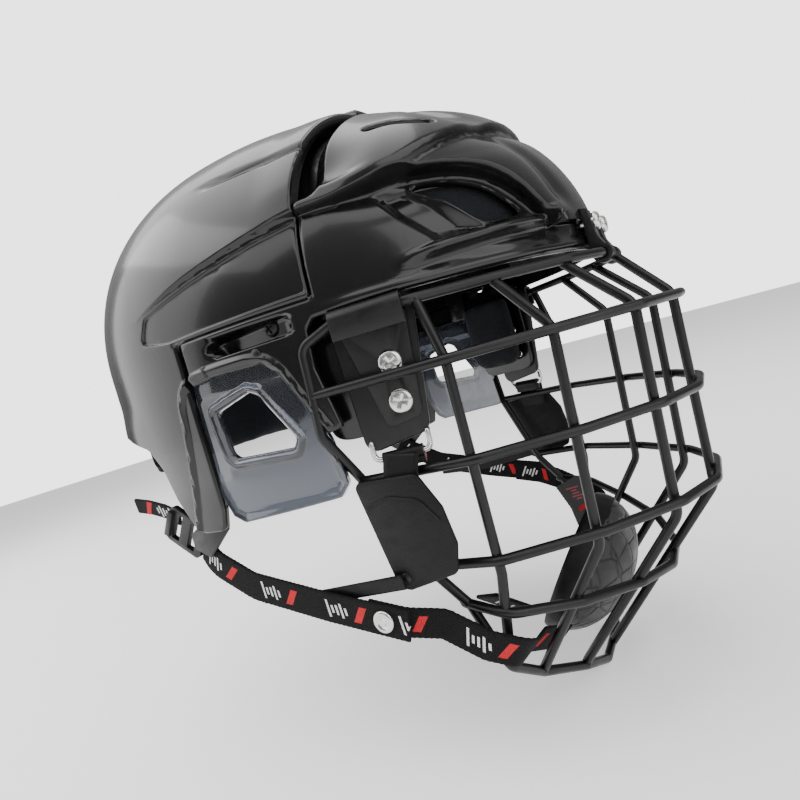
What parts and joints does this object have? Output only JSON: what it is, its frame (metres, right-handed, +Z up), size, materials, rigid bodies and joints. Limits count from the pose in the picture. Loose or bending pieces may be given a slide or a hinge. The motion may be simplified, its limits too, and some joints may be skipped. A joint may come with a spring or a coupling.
{
  "type": "ice hockey helmet with wire cage",
  "caption": "Two-piece black hockey helmet with a hinged wire face cage, clear ear covers, foam liner, chin cup and webbing chin straps.",
  "frame": {"origin": "centre of the head opening at the level where the shell is widest, where the pads grip the head", "axes": "+Z up through the crown, -Y the way the face looks, +X the wearer's left; the cage's cross wires lie level"},
  "size_m": [0.2128, 0.3056, 0.293],
  "materials": {
    "shell_gloss_black": "high gloss moulded shell with soft grey reflections",
    "cage_wire_black": "satin black powder coat on steel wire",
    "bright_fittings": "bright plated steel",
    "ear_cover_clear": "smoky clear plastic",
    "foam_navy": "closed-cell navy foam",
    "cup_grey_rubber": "embossed grey rubber",
    "cup_liner_fabric": "woven liner in pink and red",
    "tab_black_leather": "smooth black synthetic leather",
    "webbing_black": "woven polyester webbing with a light woven motif",
    "clip_black_plastic": "moulded black plastic"
  },
  "bodies": {
    "front_helmet": {"brow_pad": "foam_navy", "ear_cover_left": "ear_cover_clear", "ear_cover_right": "ear_cover_clear", "ear_cover_rivets": "clip_black_plastic", "forehead_clip_left": "clip_black_plastic", "forehead_clip_right": "clip_black_plastic", "forehead_screws": "bright_fittings", "front_shell": "shell_gloss_black", "link_strap_left": "tab_black_leather", "link_strap_right": "tab_black_leather", "rear_strap_left": "webbing_black", "rear_strap_right": "webbing_black", "side_clip_left": "clip_black_plastic", "side_clip_right": "clip_black_plastic", "side_clip_screws": "bright_fittings", "side_loop_left": "bright_fittings", "side_loop_right": "bright_fittings", "side_plate_left": "clip_black_plastic", "side_plate_right": "clip_black_plastic", "strap_snaps": "bright_fittings", "tab_keeper_left": "tab_black_leather", "tab_keeper_right": "tab_black_leather", "temple_pad_left": "foam_navy", "temple_pad_right": "foam_navy"},
    "rear_helmet": {"crown_pad": "foam_navy", "rear_buckle_left": "clip_black_plastic", "rear_buckle_right": "clip_black_plastic", "rear_pad": "foam_navy", "rear_shell": "shell_gloss_black", "side_pad_left": "foam_navy", "side_pad_right": "foam_navy", "size_screws": "bright_fittings", "strap_anchor_left": "tab_black_leather", "strap_anchor_right": "tab_black_leather", "strap_tail_left": "webbing_black", "strap_tail_right": "webbing_black"},
    "cage": {"centre_bar": "cage_wire_black", "chin_cup": "cup_grey_rubber", "chin_cup_liner": "cup_liner_fabric", "chin_tab_left": "tab_black_leather", "chin_tab_right": "tab_black_leather", "chin_web_left": "webbing_black", "chin_web_right": "webbing_black", "edge_wire": "cage_wire_black", "eye_hoop": "cage_wire_black", "inner_bar_left": "cage_wire_black", "inner_bar_right": "cage_wire_black", "jaw_hoop": "cage_wire_black", "middle_bar_left": "cage_wire_black", "middle_bar_right": "cage_wire_black", "mouth_hoop": "cage_wire_black", "nose_hoop": "cage_wire_black", "outer_bar_left": "cage_wire_black", "outer_bar_right": "cage_wire_black", "tab_rivets": "bright_fittings", "top_bar": "cage_wire_black", "under_strap_left": "webbing_black", "under_strap_right": "webbing_black"}
  },
  "joints": [
    {"name": "cage_flip", "type": "hinge", "parent": "front_helmet", "child": "cage", "pos_m": [0, -0.1615, -0.0095], "axis": [-1, 0, 0], "range_deg": [0, 100]},
    {"name": "size_slide", "type": "slide", "parent": "front_helmet", "child": "rear_helmet", "axis": [0, 1, 0], "range_m": [0, 0.01]}
  ]
}
